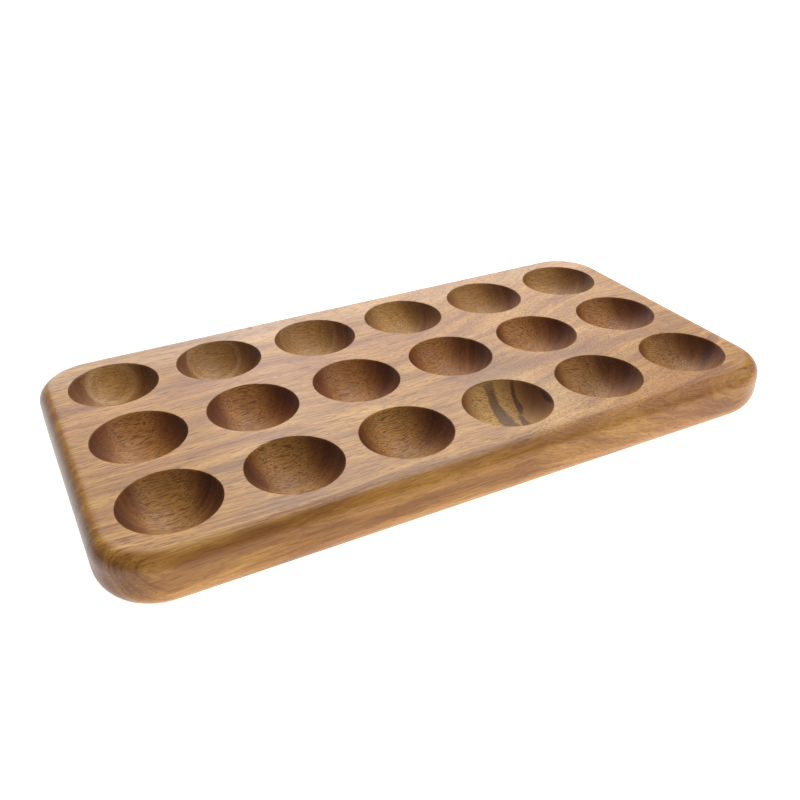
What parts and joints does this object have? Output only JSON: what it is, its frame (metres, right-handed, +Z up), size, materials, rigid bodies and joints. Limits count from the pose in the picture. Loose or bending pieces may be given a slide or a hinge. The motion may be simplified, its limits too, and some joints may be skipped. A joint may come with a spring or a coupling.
{
  "type": "egg holder tray",
  "caption": "Thick wooden countertop tray with rows of shallow round cups that hold eggs upright, with rounded corners and generously rounded edges, glued up from doweled staves.",
  "frame": {"origin": "centre of the flat underside that the tray rests on", "axes": "+X along the long rows of cups, -Y towards the front edge, +Z up out of the cups"},
  "size_m": [0.309, 0.162, 0.025],
  "materials": {
    "acacia": "fine-sanded and oiled to a satin sheen, streaky brown figure along the board",
    "dowel_hardwood": "plain fluted hardwood, unfinished"
  },
  "bodies": {
    "root": {"front_stave": "acacia", "middle_stave": "acacia", "back_stave": "acacia", "front_joint_dowel_1": "dowel_hardwood", "front_joint_dowel_2": "dowel_hardwood", "front_joint_dowel_3": "dowel_hardwood", "front_joint_dowel_4": "dowel_hardwood", "front_joint_dowel_5": "dowel_hardwood", "back_joint_dowel_1": "dowel_hardwood", "back_joint_dowel_2": "dowel_hardwood", "back_joint_dowel_3": "dowel_hardwood", "back_joint_dowel_4": "dowel_hardwood", "back_joint_dowel_5": "dowel_hardwood"}
  },
  "joints": []
}
